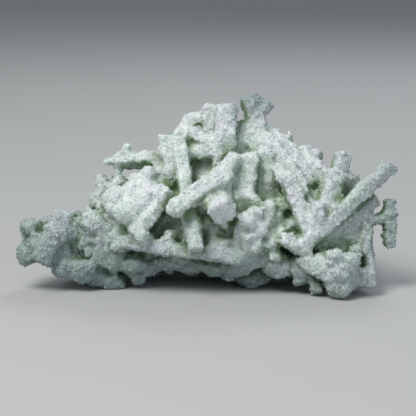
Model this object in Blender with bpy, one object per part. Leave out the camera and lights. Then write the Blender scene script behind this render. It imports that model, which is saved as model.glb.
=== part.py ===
# Prehnite pseudomorph: a free-standing openwork mound of blunt, straight fingers.
# Every finger is a cast of a lath-shaped crystal that is gone, grown together with its neighbours, so the
# whole mound is one solid. It is cut flat underneath, where it was broken from its pocket, and rests there.
# Lengths are millimetres until the last step, which scales the solid to metres. +Z is up and -Y is the front.

import math
import random
from collections import namedtuple

import bmesh
import bpy
from mathutils import Matrix, Vector

NAME = "prehnite_cluster"

# The front view that the hand-placed fingers are given in: from a little above, at arm's length.
VIEW_TILT = math.radians(10.0)
VIEW_DISTANCE = 700.0
VIEW_MIDDLE_UP = 35.2
VIEW_AIM = Vector((0.0, 0.0, 30.5))

# The mound is moved by this much, so that the middle of its footprint's box is the origin.
CENTRE_X = -0.4
CENTRE_Y = 2.2

BEVEL_SHARE = 0.24          # bevel of a finger's long edges, as a share of its thinner side
TIP_SHARE = 0.90            # a finger's section at its tip, as a share of the one at its root
END_SLOPE = 0.10            # how far a broken end slopes, as a share of its width
SLIM = 4.9                  # a finger no thicker than this keeps its corners sharp
NEARLY_END_ON = 0.05        # a finger this close to the sight line takes its width from the vertical
SMALL_LUMP = 10.5           # a lump smaller than this has only 20 faces
LUMP_DENTS = (0.93, 1.05)   # how far in or out a lump's corners stand, as a share of its size
MOULD_SEED = 5
WELD = 0.004                # corners nearer than this are one
GROUND_SIZE = (400.0, 400.0, 100.0)
METRES_PER_MM = 0.001

PREHNITE_GREEN = (0.62, 0.70, 0.62, 1.0)
SATIN = 0.45

Finger = namedtuple("Finger", "name tip root width thick roll")
Lump = namedtuple("Lump", "name centre size")

# Fingers, each from its free tip to its root: (across, up, depth) as the front view shows them, depth growing
# to the back. Width is seen from the front, thick goes into the depth, roll turns the section in degrees.
CROWN = [
    Finger("centre", (7.2, 76.2, -3), (5.4, 41.6, -9), 8.2, 8.4, 8),
    Finger("centre_side", (10.8, 66.0, -3), (9.0, 46.0, -7), 6.4, 6.0, -10),
    Finger("centre_left", (0.6, 76.4, 1), (-0.6, 50.0, -3), 6.2, 6.0, 12),
    Finger("knob_neck", (18.4, 76.0, 5), (16.0, 50.0, 0), 7.0, 7.0, 5),
    Finger("knob_flare", (14.6, 68.0, 4), (12.6, 54.0, 0), 5.0, 5.0, 20),
    Finger("knob_horn", (13.2, 79.2, 3), (16.4, 75.6, 4), 2.6, 2.6, 0),
    Finger("knob_cheek", (24.0, 75.6, 4), (18.4, 75.2, 4), 5.4, 5.0, 20),
    Finger("arch_slant", (-6.2, 72.4, 2), (-15.4, 56.0, -2), 4.6, 5.6, 0),
    Finger("arch_cap", (-7.0, 71.6, 3), (0.0, 71.4, 2), 4.6, 5.0, 10),
    Finger("arch_bar", (-10.2, 67.0, -1), (4.4, 61.0, -4), 4.8, 5.4, 15),
    Finger("arch_sill", (-10.4, 58.4, -2), (4.0, 58.0, -4), 5.2, 5.0, 0),
    Finger("upright", (-12.2, 65.0, -10), (-4.8, 18.0, -31), 6.0, 6.2, 10),
    Finger("blue_upright", (-18.0, 64.4, -6), (-15.2, 44.0, -9), 5.0, 5.0, 30),
    Finger("window_back", (-1.6, 60.0, 2), (-0.4, 40.0, 0), 6.0, 6.0, 20),
    Finger("flat_top", (16.6, 57.0, -15), (14.6, 30.0, -16), 7.8, 6.6, -6),
]
SHOULDER = [
    Finger("slope_a", (22.4, 64.8, -3), (36.6, 42.4, -12), 6.4, 6.6, 10),
    Finger("slope_b", (28.4, 62.6, 0), (41.6, 43.6, -7), 6.6, 6.4, 25),
    Finger("slope_c", (36.0, 58.6, 1), (49.0, 44.0, -6), 6.2, 5.6, 0),
    Finger("slope_horn", (33.4, 65.0, 4), (27.6, 58.6, 2), 3.0, 3.0, 0),
    Finger("slope_ledge", (45.0, 56.6, 4), (35.0, 53.0, 2), 4.8, 5.0, 10),
    Finger("slope_back", (21.0, 67.2, 8), (31.0, 52.0, 2), 5.6, 6.0, 15),
    Finger("slope_rail", (41.6, 54.0, -3), (50.0, 45.6, -7), 4.4, 5.0, 20),
    Finger("bright", (29.8, 50.0, -21), (40.4, 24.0, -24), 6.6, 6.6, 12),
    Finger("bright_block", (28.0, 51.6, -20), (30.4, 44.0, -4), 4.8, 4.6, 20),
    Finger("right_knob", (53.2, 56.4, 4), (47.6, 37.0, -6), 7.0, 7.0, 18),
    Finger("right_post", (57.6, 47.6, 1), (53.0, 33.0, -8), 6.0, 6.0, 0),
    Finger("long_back", (74.0, 53.2, -9), (45.6, 31.2, -20), 5.4, 5.4, 20),
    Finger("long_front", (69.2, 40.0, -17), (34.6, 17.6, -36), 6.6, 8.4, 34),
    Finger("lip", (29.4, 23.0, -31), (41.0, 17.6, -27), 4.8, 5.0, 15),
    Finger("toward_a", (48.6, 41.4, -22), (45.0, 39.0, -4), 9.6, 9.6, 12),
    Finger("toward_b", (43.4, 35.0, -30), (46.6, 29.0, -16), 5.4, 6.0, 30),
    Finger("toward_c", (41.4, 30.0, -30), (43.0, 26.0, -14), 6.4, 7.0, 0),
    Finger("under_long", (66.0, 33.6, -14), (46.0, 20.0, -22), 6.2, 7.4, 20),
    Finger("pocket_back", (40.0, 46.0, -6), (41.0, 28.0, -14), 7.0, 6.0, 0),
]
FRONT = [
    Finger("main_slant", (-14.0, 34.4, -33), (13.0, 57.0, -15), 6.8, 6.8, 14),
    Finger("block_end", (4.8, 33.8, -35), (3.6, 44.0, -10), 10.0, 9.4, 24),
    Finger("block_side", (1.0, 37.0, -29), (1.6, 42.0, -12), 6.0, 6.0, 10),
    Finger("chunk", (18.8, 35.6, -29), (16.6, 8.0, -19), 6.0, 6.6, 10),
    Finger("chunk_left", (13.4, 31.0, -28), (12.0, 8.0, -18), 5.6, 6.4, -8),
    Finger("thin_post", (24.6, 41.6, -26), (22.0, 9.0, -21), 4.6, 5.0, 0),
    Finger("post_back", (28.0, 35.0, -24), (24.0, 12.0, -18), 4.4, 5.0, 30),
    Finger("olive_back", (13.6, 43.0, -18), (9.0, 16.0, -18), 6.0, 6.0, 10),
    Finger("slit_back", (24.8, 52.0, -12), (26.4, 20.0, -14), 6.0, 6.0, 10),
    Finger("ridge_a", (-12.4, 42.6, -22), (-32.4, 25.0, -26), 7.0, 7.0, 12),
    Finger("ridge_b", (-17.6, 44.4, -18), (-38.6, 31.0, -22), 6.6, 7.0, 0),
    Finger("ridge_c", (-26.0, 46.6, -15), (-41.0, 36.4, -16), 6.0, 6.4, 20),
    Finger("lean_left", (-22.4, 51.2, -12), (-34.0, 38.0, -18), 5.0, 5.0, 10),
    Finger("green_back", (-16.8, 52.0, -3), (-20.0, 36.0, -6), 8.8, 6.0, 0),
    Finger("deep_green", (-13.0, 37.0, -12), (-18.0, 24.0, -18), 6.0, 6.0, 10),
    Finger("bough", (-37.6, 53.8, -5), (-14.0, 54.4, -4), 6.4, 6.2, 36),
    Finger("bough_tip", (-41.6, 54.0, -6), (-36.0, 54.2, -5), 2.8, 3.0, 20),
    Finger("bough_nub", (-32.4, 60.8, -4), (-32.4, 55.0, -4), 3.6, 3.4, 25),
    Finger("bough_strut", (-36.0, 54.4, -4), (-36.4, 42.0, -6), 3.4, 4.0, 0),
    Finger("left_prickle", (-42.0, 48.4, -3), (-41.0, 36.0, -6), 4.4, 4.4, 15),
    Finger("beam", (-34.0, 21.6, -22), (13.0, 14.6, -24), 5.8, 6.0, 8),
    Finger("beam_under", (-22.0, 15.2, -10), (4.0, 12.4, -12), 6.4, 7.0, 0),
    Finger("beam_stub", (-27.0, 24.8, -30), (-23.0, 21.6, -18), 5.4, 4.2, 20),
    Finger("beam_bead", (-16.0, 27.0, -26), (-12.4, 20.0, -18), 4.6, 4.6, 30),
    Finger("beam_knoll", (4.6, 24.0, -27), (4.0, 16.0, -14), 7.0, 6.0, 30),
]
LEFT_LOBE = [
    Finger("left_point", (-75.4, 16.0, -14), (-60.0, 20.0, -8), 5.8, 6.4, 20),
    Finger("broad", (-58.0, 33.6, -9), (-66.4, 14.0, -18), 6.2, 6.2, 12),
    Finger("left_brow", (-72.0, 30.4, -5), (-69.6, 18.0, -7), 6.0, 6.0, 20),
    Finger("left_ledge", (-74.0, 22.4, -8), (-62.0, 23.0, -4), 6.4, 6.0, 0),
    Finger("cheek_a", (-44.0, 32.0, -12), (-50.0, 18.0, -10), 7.4, 7.0, 15),
    Finger("cheek_b", (-51.0, 31.0, -9), (-51.6, 16.0, -8), 5.6, 6.4, 0),
    Finger("cheek_nub", (-47.6, 35.4, -9), (-47.0, 29.0, -8), 3.0, 3.0, 0),
    Finger("green_finger", (-38.0, 29.6, -12), (-44.0, 12.0, -13), 7.6, 6.6, 10),
    Finger("low_bright", (-35.2, 23.0, -23), (-47.0, 6.0, -15), 5.6, 5.6, 18),
    Finger("low_slab", (-61.0, 12.6, -17), (-46.0, 9.0, -11), 6.4, 7.0, 0),
    Finger("left_heap", (-57.6, 19.0, -17), (-50.0, 12.0, -8), 7.0, 7.0, 20),
    Finger("left_back", (-66.0, 24.0, 3), (-44.0, 28.0, 0), 6.4, 7.0, 15),
]
RIGHT_LOBE = [
    Finger("tee_upright", (72.0, 38.8, -14), (72.6, 19.4, -14), 5.0, 5.0, 10),
    Finger("tee_nub", (76.0, 32.6, -14), (70.0, 31.8, -14), 3.6, 4.0, 0),
    Finger("tee_arm", (73.6, 31.2, -14), (58.0, 28.6, -15), 6.0, 5.4, 10),
    Finger("ring_top", (66.6, 22.0, -18), (53.0, 22.6, -20), 5.2, 6.0, 10),
    Finger("ring_right", (66.0, 6.0, -22), (64.4, 27.0, -15), 4.6, 6.0, 10),
    Finger("ring_left", (57.6, 20.0, -25), (57.0, 5.0, -26), 4.4, 5.0, 20),
    Finger("ring_floor", (67.0, 7.0, -23), (48.0, 6.0, -25), 6.4, 8.0, 0),
    Finger("facing_a", (50.6, 14.6, -36), (49.8, 19.0, -14), 8.0, 7.0, 15),
    Finger("facing_b", (56.0, 14.6, -34), (55.4, 17.0, -14), 5.0, 6.0, 0),
    Finger("toe", (54.0, 3.6, -33), (33.6, 20.0, -28), 5.4, 5.6, 15),
    Finger("lobe_back", (60.0, 20.0, 6), (48.0, 10.0, -6), 7.0, 7.0, 10),
    Finger("stub_a", (43.6, 1.6, -26), (43.0, 12.0, -20), 5.0, 5.0, 10),
    Finger("stub_b", (37.0, 4.4, -22), (38.0, 14.0, -18), 5.6, 5.6, 0),
    Finger("mid_stub_a", (14.8, 4.8, -8), (16.0, 14.0, -12), 3.2, 3.2, 0),
    Finger("mid_stub_b", (19.8, 4.0, -6), (19.4, 14.0, -12), 3.4, 3.4, 0),
]
FINGERS = CROWN + SHOULDER + FRONT + LEFT_LOBE + RIGHT_LOBE

# Rounded lumps of crust: knobs on the fingers and the crusty base that carries them. Each is given by its
# centre in the front view and its size along X, Y and Z. The big cores lie behind the fingers.
LUMPS = [
    Lump("knob_head", (18.4, 77.0, 4), (7.6, 7.6, 7.6)),
    Lump("right_knob_head", (53.4, 54.0, 3), (8.4, 8.4, 9.0)),
    Lump("slope_bead_a", (26.4, 64.0, 3), (6.0, 6.0, 5.6)),
    Lump("slope_bead_b", (39.6, 57.0, 3), (5.4, 6.0, 5.4)),
    Lump("left_knuckle", (-35.0, 46.0, -5), (7.6, 7.6, 6.4)),
    Lump("left_wrist", (-43.6, 38.0, -4), (7.0, 8.0, 8.0)),
    Lump("bright_mass_a", (-34.0, 38.4, -14), (14.0, 12.0, 13.0)),
    Lump("bright_mass_b", (-28.0, 33.6, -18), (14.0, 12.0, 12.0)),
    Lump("bright_mass_c", (-38.0, 31.2, -13), (9.0, 10.0, 10.0)),
    Lump("body_right", (46.0, 43.0, -8), (14.0, 13.0, 14.0)),
    Lump("bead", (26.8, 16.4, -25), (6.4, 7.0, 6.4)),
    Lump("left_top", (-70.4, 26.4, -7), (8.6, 9.0, 9.0)),
    Lump("left_blue", (-56.0, 14.0, -11), (14.0, 12.0, 11.0)),
    Lump("left_mid", (-56.0, 27.0, -2), (12.0, 12.0, 11.0)),
    Lump("foot_left", (-38.4, 6.0, -10), (9.6, 10.0, 8.0)),
    Lump("foot_left_b", (-45.6, 7.6, -11), (9.0, 9.0, 7.6)),
    Lump("belly_left", (-30.0, 12.6, -12), (15.0, 12.0, 11.0)),
    Lump("belly_mid", (-18.0, 14.0, -8), (14.0, 12.0, 8.0)),
    Lump("belly_right", (3.4, 12.4, -13), (12.0, 11.0, 9.0)),
    Lump("belly_front", (12.0, 12.0, -16), (13.0, 12.0, 10.0)),
    Lump("foot_mid", (18.0, 8.6, -8), (14.0, 12.0, 10.0)),
    Lump("foot_mid_right", (28.0, 12.0, -19), (12.0, 11.0, 9.0)),
    Lump("foot_right_a", (38.0, 12.0, -21), (10.0, 10.0, 10.0)),
    Lump("foot_right_c", (52.6, 4.0, -29), (11.0, 11.0, 9.0)),
    Lump("lobe_core", (56.0, 13.0, -12), (18.0, 18.0, 16.0)),
    Lump("core_middle", (2.0, 32.0, 2), (48.0, 34.0, 44.0)),
    Lump("core_left", (-32.0, 26.0, -2), (36.0, 26.0, 28.0)),
    Lump("core_right", (38.0, 28.0, -4), (38.0, 28.0, 32.0)),
    Lump("core_far_left", (-56.0, 21.0, -2), (26.0, 18.0, 16.0)),
    Lump("base_left", (-24.0, 20.0, 6), (44.0, 30.0, 14.0)),
    Lump("base_right", (28.0, 11.0, 13), (52.0, 32.0, 18.0)),
    Lump("base_back", (-4.0, 12.0, 22), (62.0, 26.0, 22.0)),
]


def place(across, up, depth):
    """The point that the front view shows at (across, up), carried along its sight line to that depth."""
    ahead = Vector((0.0, math.cos(VIEW_TILT), -math.sin(VIEW_TILT)))
    upward = Vector((0.0, math.sin(VIEW_TILT), math.cos(VIEW_TILT)))
    eye = VIEW_AIM - VIEW_DISTANCE * ahead
    seen = VIEW_AIM + Vector((across, 0.0, 0.0)) + upward * (up - VIEW_MIDDLE_UP)
    sight = seen - eye
    return eye + sight * ((depth - eye.y) / sight.y)


def section_axes(along, roll):
    """A finger's width and thickness directions: width lies across the front view, roll turns both."""
    ahead = Vector((0.0, math.cos(VIEW_TILT), -math.sin(VIEW_TILT)))
    side = along.cross(ahead)
    if side.length < NEARLY_END_ON:
        side = along.cross(Vector((0.0, 0.0, 1.0)))
    side.normalize()
    turned = Matrix.Rotation(math.radians(roll), 3, along) @ side
    return turned, along.cross(turned).normalized()


def finger_mesh(root, tip, width, thick, roll, rng):
    """A bar of rectangular section with bevelled long edges and a broken, slightly sloping tip."""
    along = (tip - root).normalized()
    side, face = section_axes(along, roll)
    bm = bmesh.new()
    bmesh.ops.create_cube(bm, size=1.0)
    bmesh.ops.scale(bm, vec=(width, thick, 1.0), verts=bm.verts)
    if min(width, thick) > SLIM:
        long_edges = [e for e in bm.edges if abs(e.verts[0].co.z - e.verts[1].co.z) > 0.5]
        offset = BEVEL_SHARE * min(width, thick)
        bmesh.ops.bevel(bm, geom=long_edges, offset=offset, segments=1, affect="EDGES", profile=0.5)
    slope_x = rng.uniform(-END_SLOPE, END_SLOPE)
    slope_y = rng.uniform(-END_SLOPE, END_SLOPE)
    for vert in bm.verts:
        x, y, z = vert.co
        share = TIP_SHARE if z > 0.0 else 1.0
        end = tip if z > 0.0 else root
        slope = (slope_x * x + slope_y * y) if z > 0.0 else 0.0
        vert.co = end + side * (x * share) + face * (y * share) + along * slope
    return finish_mesh(bm)


def lump_mesh(centre, size, rng):
    """A rounded lump: a coarse ball, stretched and dented a little at each corner."""
    bm = bmesh.new()
    bmesh.ops.create_icosphere(bm, subdivisions=1 if max(size) < SMALL_LUMP else 2, radius=0.5)
    turn = Matrix.Rotation(rng.uniform(0.0, math.tau), 3, "Z")
    for vert in bm.verts:
        spot = turn @ vert.co * rng.uniform(*LUMP_DENTS)
        vert.co = centre + Vector((spot.x * size[0], spot.y * size[1], spot.z * size[2]))
    return finish_mesh(bm)


def finish_mesh(bm):
    """A mesh made of the bmesh, its faces pointing outwards."""
    bmesh.ops.recalc_face_normals(bm, faces=bm.faces)
    mesh = bpy.data.meshes.new("mould")
    bm.to_mesh(mesh)
    bm.free()
    return mesh


# The back, the top and the far sides: fingers laid by a rule over the mound's own outline.
# Its height and its reach to the back are given at a few places along X and blended between.
OUTLINE_X = (-70, -56, -44, -30, -12, 4, 20, 36, 52, 66)
OUTLINE_HEIGHT = (16, 24, 29, 36, 50, 60, 56, 49, 42, 31)
OUTLINE_REACH = (2, 10, 20, 29, 35, 37, 36, 32, 23, 8)
BACK_ROWS = ((9, 12.0), (9, 30.0), (8, 48.0), (7, 66.0))    # how many fingers, and how high round the back
BACK_SEED = 11
BACK_MIDDLE = 2.0               # X of every row's middle
BACK_HALF_ROW = 60.0            # half the length of a row at the ground
BACK_NARROWING = 22.0           # how much of that a row on the very top has lost
BACK_PLACE = (0.2, 0.8)         # where in its share of the row a finger stands
BACK_STRAY = 8.0                # degrees that a finger may lie above or below its row
BACK_SKIN_LIFT = 3.0            # the outline's ground line lies this high
BACK_FAN = 90.0                 # a finger this far along X leans as far sideways as it does back
BACK_LEAN = (0.1, 0.8)          # how much a finger points outwards, against its lie along the skin
BACK_LENGTH = (20.0, 34.0)
BACK_WIDTH = (5.4, 8.0)
BACK_THICK = (5.4, 7.6)
BACK_ROLL = (0.0, 45.0)
BACK_TIP_SHARE = 0.45           # the share of a finger's length on the tip's side of the skin point
BACK_ROOT_DEPTH = 4.0           # the root is sunk this much deeper
BACK_LOWEST_TIP = 5.0
BACK_LOWEST_ROOT = 6.0


def blend_outline(values, x):
    """Straight-line reading of one outline at x."""
    for (x0, x1), (v0, v1) in zip(zip(OUTLINE_X, OUTLINE_X[1:]), zip(values, values[1:])):
        if x <= x1:
            share = max(0.0, (x - x0) / (x1 - x0))
            return v0 + (v1 - v0) * share
    return values[-1]


def back_fingers():
    """Blunt fingers that lie over one another on the back, in rows, each leaning out of the mound's skin."""
    rng = random.Random(BACK_SEED)
    made = []
    for count, height_angle in BACK_ROWS:
        for place_in_row in range(count):
            share = (place_in_row + rng.uniform(*BACK_PLACE)) / count
            lift = math.radians(height_angle + rng.uniform(-BACK_STRAY, BACK_STRAY))
            half = BACK_HALF_ROW - BACK_NARROWING * math.sin(lift)
            x = half * (2.0 * share - 1.0) + BACK_MIDDLE
            reach = blend_outline(OUTLINE_REACH, x)
            height = blend_outline(OUTLINE_HEIGHT, x)
            skin = Vector((x, reach * math.cos(lift), height * math.sin(lift) + BACK_SKIN_LIFT))
            outward = Vector((x / BACK_FAN, math.cos(lift), math.sin(lift))).normalized()
            level = outward.cross(Vector((0.0, 0.0, 1.0))).normalized()
            spin = rng.uniform(0.0, math.tau)
            sweep = level * math.cos(spin) + outward.cross(level) * math.sin(spin)
            along = (outward * rng.uniform(*BACK_LEAN) + sweep).normalized()
            length = rng.uniform(*BACK_LENGTH)
            tip = skin + along * length * BACK_TIP_SHARE
            root = skin - along * length * (1.0 - BACK_TIP_SHARE) - outward * BACK_ROOT_DEPTH
            tip.z = max(tip.z, BACK_LOWEST_TIP)
            root.z = max(root.z, BACK_LOWEST_ROOT)
            made.append((f"back_{len(made):02d}", root, tip, rng.uniform(*BACK_WIDTH),
                         rng.uniform(*BACK_THICK), rng.uniform(*BACK_ROLL)))
    return made


def add_object(name, mesh, collection):
    """One object at the origin: its place is in its mesh."""
    thing = bpy.data.objects.new(name, mesh)
    collection.objects.link(thing)
    return thing


def make_material():
    """Pale green, translucent crust with a soft satin gloss."""
    mat = bpy.data.materials.new("prehnite_crust")
    mat.use_nodes = True
    shader = mat.node_tree.nodes["Principled BSDF"]
    shader.inputs["Base Color"].default_value = PREHNITE_GREEN
    shader.inputs["Roughness"].default_value = SATIN
    shader.inputs["Metallic"].default_value = 0.0
    return mat


def shells(bm):
    """The mesh's connected bodies, each as a list of faces."""
    left = set(bm.faces)
    found = []
    while left:
        body = [left.pop()]
        for face in body:
            for edge in face.edges:
                for near in edge.link_faces:
                    if near in left:
                        left.discard(near)
                        body.append(near)
        found.append(body)
    return found


def keep_outer_shell(mesh):
    """Fills the sealed hollows between crossed fingers by leaving out their walls."""
    bm = bmesh.new()
    bm.from_mesh(mesh)
    bmesh.ops.remove_doubles(bm, verts=bm.verts, dist=WELD)
    bodies = sorted(shells(bm), key=len)
    for body in bodies[:-1]:
        bmesh.ops.delete(bm, geom=body, context="FACES")
    bmesh.ops.triangulate(bm, faces=bm.faces)
    bm.to_mesh(mesh)
    bm.free()


def evaluated_mesh(thing):
    """The object's mesh with its modifiers applied."""
    depsgraph = bpy.context.evaluated_depsgraph_get()
    return bpy.data.meshes.new_from_object(thing.evaluated_get(depsgraph))


def ground_cutter():
    """The box below z = 0 that cuts the mound flat."""
    bm = bmesh.new()
    bmesh.ops.create_cube(bm, size=1.0)
    bmesh.ops.scale(bm, vec=GROUND_SIZE, verts=bm.verts)
    bmesh.ops.translate(bm, vec=(0.0, 0.0, -GROUND_SIZE[2] / 2.0), verts=bm.verts)
    return finish_mesh(bm)


def main():
    for thing in list(bpy.data.objects):
        bpy.data.objects.remove(thing, do_unlink=True)

    parts = bpy.data.collections.new("prehnite_pseudomorph")
    moulds = bpy.data.collections.new("moulds")
    cutters = bpy.data.collections.new("cutters")
    for collection in (parts, moulds, cutters):
        bpy.context.scene.collection.children.link(collection)

    rng = random.Random(MOULD_SEED)
    for lump in LUMPS:
        add_object(lump.name, lump_mesh(place(*lump.centre), lump.size, rng), moulds)
    for finger in FINGERS:
        root, tip = place(*finger.root), place(*finger.tip)
        add_object(finger.name, finger_mesh(root, tip, finger.width, finger.thick, finger.roll, rng), moulds)
    for name, root, tip, width, thick, roll in back_fingers():
        add_object(name, finger_mesh(root, tip, width, thick, roll, rng), moulds)

    ground = add_object("ground_cutter", ground_cutter(), cutters)

    # Every mould is joined with the middle core, and what the core doesn't reach isn't kept.
    first = moulds.objects["core_middle"]
    moulds.objects.unlink(first)
    parts.objects.link(first)
    join = first.modifiers.new("join", "BOOLEAN")
    join.operation = "UNION"
    join.operand_type = "COLLECTION"
    join.collection = moulds
    join.solver = "EXACT"
    joined = evaluated_mesh(first)
    keep_outer_shell(joined)
    bpy.data.objects.remove(first, do_unlink=True)

    cluster = add_object(NAME, joined, parts)
    cut = cluster.modifiers.new("cut_flat", "BOOLEAN")
    cut.operation = "DIFFERENCE"
    cut.object = ground
    cut.solver = "EXACT"
    flat = evaluated_mesh(cluster)
    cluster.modifiers.clear()
    cluster.data = flat
    keep_outer_shell(flat)
    flat.transform(Matrix.Translation((-CENTRE_X, -CENTRE_Y, 0.0)))
    flat.transform(Matrix.Scale(METRES_PER_MM, 4))
    flat.materials.clear()
    flat.materials.append(make_material())

    for thing in list(moulds.objects) + list(cutters.objects):
        thing.hide_render = True
        thing.display_type = "WIRE"


main()
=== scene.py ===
import math
import random

import bpy
import numpy as np
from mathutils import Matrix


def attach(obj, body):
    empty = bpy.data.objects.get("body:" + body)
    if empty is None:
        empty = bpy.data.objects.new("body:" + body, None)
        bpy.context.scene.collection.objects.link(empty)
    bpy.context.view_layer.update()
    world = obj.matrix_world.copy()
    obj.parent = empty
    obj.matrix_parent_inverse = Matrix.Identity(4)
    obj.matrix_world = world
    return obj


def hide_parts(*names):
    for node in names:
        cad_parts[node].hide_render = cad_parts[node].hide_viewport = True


# Prehnite pseudomorph: blunt finger casts grown together in a mound, all coated with sugary druse.
# Shapes are worked out in millimetres, in the part's own frame, and written to meshes in metres.

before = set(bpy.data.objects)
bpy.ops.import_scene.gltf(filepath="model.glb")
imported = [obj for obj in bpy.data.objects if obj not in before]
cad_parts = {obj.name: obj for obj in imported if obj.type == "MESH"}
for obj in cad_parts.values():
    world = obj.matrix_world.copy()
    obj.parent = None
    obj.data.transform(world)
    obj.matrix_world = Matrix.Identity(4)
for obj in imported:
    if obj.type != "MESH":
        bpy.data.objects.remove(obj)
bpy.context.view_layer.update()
castNode = "prehnite_cluster"
metresPerMm = 0.001
print("frame loaded:", sorted(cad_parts))


# Where things are

frontView = {
    "tilt": 10.0,                  # degrees that the camera looks down
    "distance": 700.0,             # from the camera to the point it looks at
    "pictureWidth": 166.4,         # seen at that distance: 416 pixels of 0.4 mm
    "middleUp": 35.2,              # height in the front view of that point
    "aim": (0.0, 0.0, 30.5),
    "centre": (-0.4, 2.2, 0.0),    # the middle of the mound's footprint, which is the frame's origin
    "clips": (0.05, 20.0),         # metres from the camera between which things show
}


def viewDirections():
    # Unit vectors ahead of the camera and up across its picture
    tilt = math.radians(frontView["tilt"])
    ahead = np.array((0.0, math.cos(tilt), -math.sin(tilt)))
    upward = np.array((0.0, math.sin(tilt), math.cos(tilt)))
    return ahead, upward


def place(spot):
    # The point seen at (across, up) in the front view, carried along its sight line to that depth
    across, up, depth = spot
    ahead, upward = viewDirections()
    aim = np.array(frontView["aim"])
    eye = aim - frontView["distance"] * ahead
    sight = aim + np.array((across, 0.0, 0.0)) + upward * (up - frontView["middleUp"]) - eye
    return eye + sight * ((depth - eye[1]) / sight[1]) - np.array(frontView["centre"])


def unit(vector):
    # A direction, or each row of an array, divided by its length
    return vector / np.linalg.norm(vector, axis=-1, keepdims=True)


def makeBar(root, tip, width, thick, roll):
    # A finger's root, length, section sizes and its three directions: along, across its width, through it
    along = unit(tip - root)
    side = np.cross(along, viewDirections()[0])
    if np.linalg.norm(side) < 0.05:    # a finger that points straight at the viewer
        side = np.cross(along, (0.0, 0.0, 1.0))
    side = unit(side)
    turn = math.radians(roll)
    side = side * math.cos(turn) + np.cross(along, side) * math.sin(turn)
    return {"root": root, "length": np.linalg.norm(tip - root), "width": width, "thick": thick,
            "axes": np.array((along, side, np.cross(along, side)))}


def handBars(table):
    # The fingers of a table, carried from the front view into space
    return [makeBar(place(root), place(tip), width, thick, roll)
            for tip, root, width, thick, roll in table.values()]


def handLumps(table):
    # The lumps of a table, each an ellipsoid with its middle and its three sizes
    return [{"centre": place(centre), "size": np.array(size, float)} for centre, size in table.values()]


# Repeatable noise over space

def cellNoise(cells, salt):
    # One steady random number from 0 to 1 for each whole-numbered cell of space: its numbers are multiplied
    # by large primes and combined, and the bits are mixed twice
    h = cells[..., 0] * 73856093 ^ cells[..., 1] * 19349663 ^ cells[..., 2] * 83492791 ^ (salt * 2654435761)
    h &= 0xFFFFFFFF
    h = ((h ^ (h >> 15)) * 2246822519) & 0xFFFFFFFF
    h = ((h ^ (h >> 13)) * 3266489917) & 0xFFFFFFFF
    return ((h ^ (h >> 16)) & 0xFFFFFF) / float(0xFFFFFF)


def softNoise(points, size, salt):
    # Smoothly blended cell noise: bumps about as wide as size, values from 0 to 1
    scaled = points / size
    low = np.floor(scaled).astype(np.int64)
    share = scaled - low
    share = share * share * (3.0 - 2.0 * share)
    total = np.zeros(len(points))
    for corner in np.ndindex(2, 2, 2):
        weight = np.prod(np.where(np.array(corner) == 1, share, 1.0 - share), axis=1)
        total += weight * cellNoise(low + np.array(corner), salt)
    return total


def crystalRelief(points, size, salt, tilt=0.9, steepness=1.1, unlike=0.7):
    # Facets of intergrown crystals: every cell of space holds one crystal, a tilted plane that falls away
    # from its middle, and the highest plane at a point is its surface there. Values run from about -1 to 1,
    # and the crystals' own heights differ by up to the value of unlike.
    scaled = points / size
    low = np.floor(scaled).astype(np.int64)
    best = np.full(len(points), -np.inf)
    for step in np.ndindex(3, 3, 3):
        cell = low + np.array(step) - 1
        middle = cell + np.stack([cellNoise(cell, salt + k) for k in range(3)], axis=1)
        away = scaled - middle
        lean = np.stack([cellNoise(cell, salt + k) for k in range(3, 6)], axis=1) - 0.5
        height = unlike * cellNoise(cell, salt + 6)
        plane = height + tilt * np.sum(away * lean, axis=1) * 2.0
        best = np.maximum(best, plane - steepness * np.sum(away * away, axis=1))
    return best


# Distance to the mound's fingers and lumps

fieldGrid = {
    "lowest": (-92.0, -58.0, -4.0),
    "highest": (92.0, 58.0, 94.0),
    "step": 1.0,
    "reach": 12.0,         # distances beyond this aren't worked out
    "edge": 0.3,           # a finger's edges are rounded by this share of its smaller size
}


def barDistance(points, bar):
    # Distance to a bar with slightly rounded edges, negative inside it
    local = (points - bar["root"]) @ bar["axes"].T
    half = np.array((bar["length"], bar["width"], bar["thick"])) / 2.0
    local[..., 0] -= half[0]
    rounding = fieldGrid["edge"] * min(bar["width"], bar["thick"])
    past = np.abs(local) - (half - rounding)
    outside = np.sqrt(np.sum(np.maximum(past, 0.0) ** 2, axis=-1))
    return outside + np.minimum(past.max(axis=-1), 0.0) - rounding


def lumpDistance(points, lump):
    # Distance to an ellipsoid, near enough close to it
    half = lump["size"] / 2.0
    offset = points - lump["centre"]
    near = np.sqrt(np.sum((offset / half) ** 2, axis=-1)) + 1e-6
    slope = np.sqrt(np.sum((offset / half ** 2) ** 2, axis=-1)) + 1e-6
    return near * (near - 1.0) / slope


def distanceField(bars, lumps):
    # The distance to the nearest of them at every point of a grid over the mound
    lowest, highest = (np.array(fieldGrid[k]) for k in ("lowest", "highest"))
    axes = [np.arange(a, b, fieldGrid["step"]) for a, b in zip(lowest, highest)]
    field = np.full([len(a) for a in axes], fieldGrid["reach"])
    parts = [(barDistance, bar, np.array((bar["root"], bar["root"] + bar["axes"][0] * bar["length"])),
              max(bar["width"], bar["thick"])) for bar in bars]
    parts += [(lumpDistance, lump, lump["centre"] + np.outer((-0.5, 0.5), lump["size"]), 0.0)
              for lump in lumps]
    for measure, part, ends, fat in parts:
        margin = fieldGrid["reach"] + fat
        first = np.floor((ends.min(0) - margin - lowest) / fieldGrid["step"]).astype(int).clip(0)
        last = np.ceil((ends.max(0) + margin - lowest) / fieldGrid["step"]).astype(int).clip(0)
        window = tuple(slice(a, b) for a, b in zip(first, last))
        points = np.stack(np.meshgrid(*[a[w] for a, w in zip(axes, window)], indexing="ij"), axis=-1)
        if points.size:
            field[window] = np.minimum(field[window], measure(points, part))
    return field


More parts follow.
